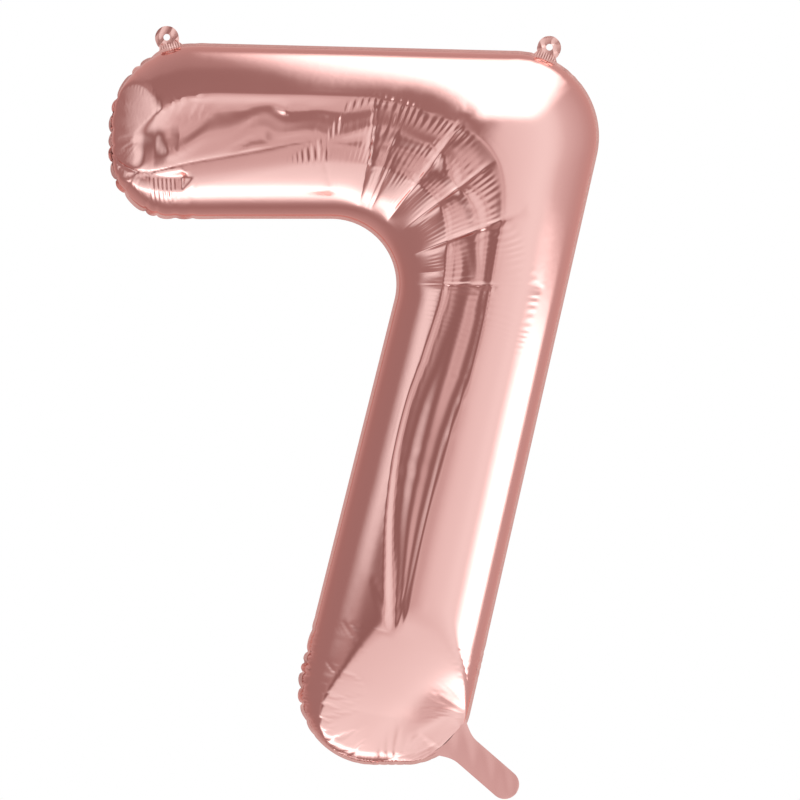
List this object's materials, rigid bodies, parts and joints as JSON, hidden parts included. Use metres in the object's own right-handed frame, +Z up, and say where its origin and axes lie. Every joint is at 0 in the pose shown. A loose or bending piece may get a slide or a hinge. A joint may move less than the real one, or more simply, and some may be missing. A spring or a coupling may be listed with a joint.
{
  "type": "foil number balloon",
  "caption": "Inflated metallised foil balloon in the shape of the numeral seven, with hanging tabs and a filling tail.",
  "frame": {"origin": "midway between the eyelets of the two hanging tabs, in the plane of the seam", "axes": "+Z up along the numeral's height, +X to the right as the numeral is read, +Y from the readable face towards the back"},
  "size_m": [0.5876, 0.2448, 0.9272],
  "materials": {
    "foil": "mirror-bright rose gold metallised film",
    "fused_foil": "rose gold film, heat fused and slightly dulled",
    "valve_film": "clear thin polyethylene film"
  },
  "bodies": {
    "balloon": {"front_panel": "foil", "back_panel": "foil", "perimeter_seam": "fused_foil"},
    "left_tab": {"hanging_tab_left": "fused_foil"},
    "right_tab": {"hanging_tab_right": "fused_foil"},
    "tail": {"tail_front_film": "foil", "tail_back_film": "foil", "valve_front_film": "valve_film", "valve_back_film": "valve_film"},
    "front_lip": {"valve_front_lip": "valve_film"},
    "back_lip": {"valve_back_lip": "valve_film"}
  },
  "joints": [
    {"name": "left_tab_fold", "type": "hinge", "parent": "balloon", "child": "left_tab", "pos_m": [-0.2259, 0, -0.00591], "axis": [0.9511, 0, 0.309], "range_deg": [-90, 90], "stiffness_Nm_per_rad": 0.0002},
    {"name": "right_tab_fold", "type": "hinge", "parent": "balloon", "child": "right_tab", "pos_m": [0.22508, 0, -0.01756], "axis": [0.9272, 0, -0.3746], "range_deg": [-90, 90], "stiffness_Nm_per_rad": 0.0002},
    {"name": "tail_fold", "type": "hinge", "parent": "balloon", "child": "tail", "pos_m": [0.11602, 0, -0.83906], "axis": [-0.6561, 0, -0.7547], "range_deg": [-90, 90], "stiffness_Nm_per_rad": 0.0002},
    {"name": "valve_open_front", "type": "hinge", "parent": "balloon", "child": "front_lip", "pos_m": [0.11187, 0, -0.83545], "axis": [0.6561, 0, 0.7547], "range_deg": [0, 12], "stiffness_Nm_per_rad": 0.0002},
    {"name": "valve_open_back", "type": "hinge", "parent": "balloon", "child": "back_lip", "pos_m": [0.11187, 0, -0.83545], "axis": [0.6561, 0, 0.7547], "range_deg": [-12, 0], "stiffness_Nm_per_rad": 0.0002}
  ],
  "couplings": [
    {"joint": "valve_open_back", "follows": "valve_open_front", "ratio": -1}
  ]
}
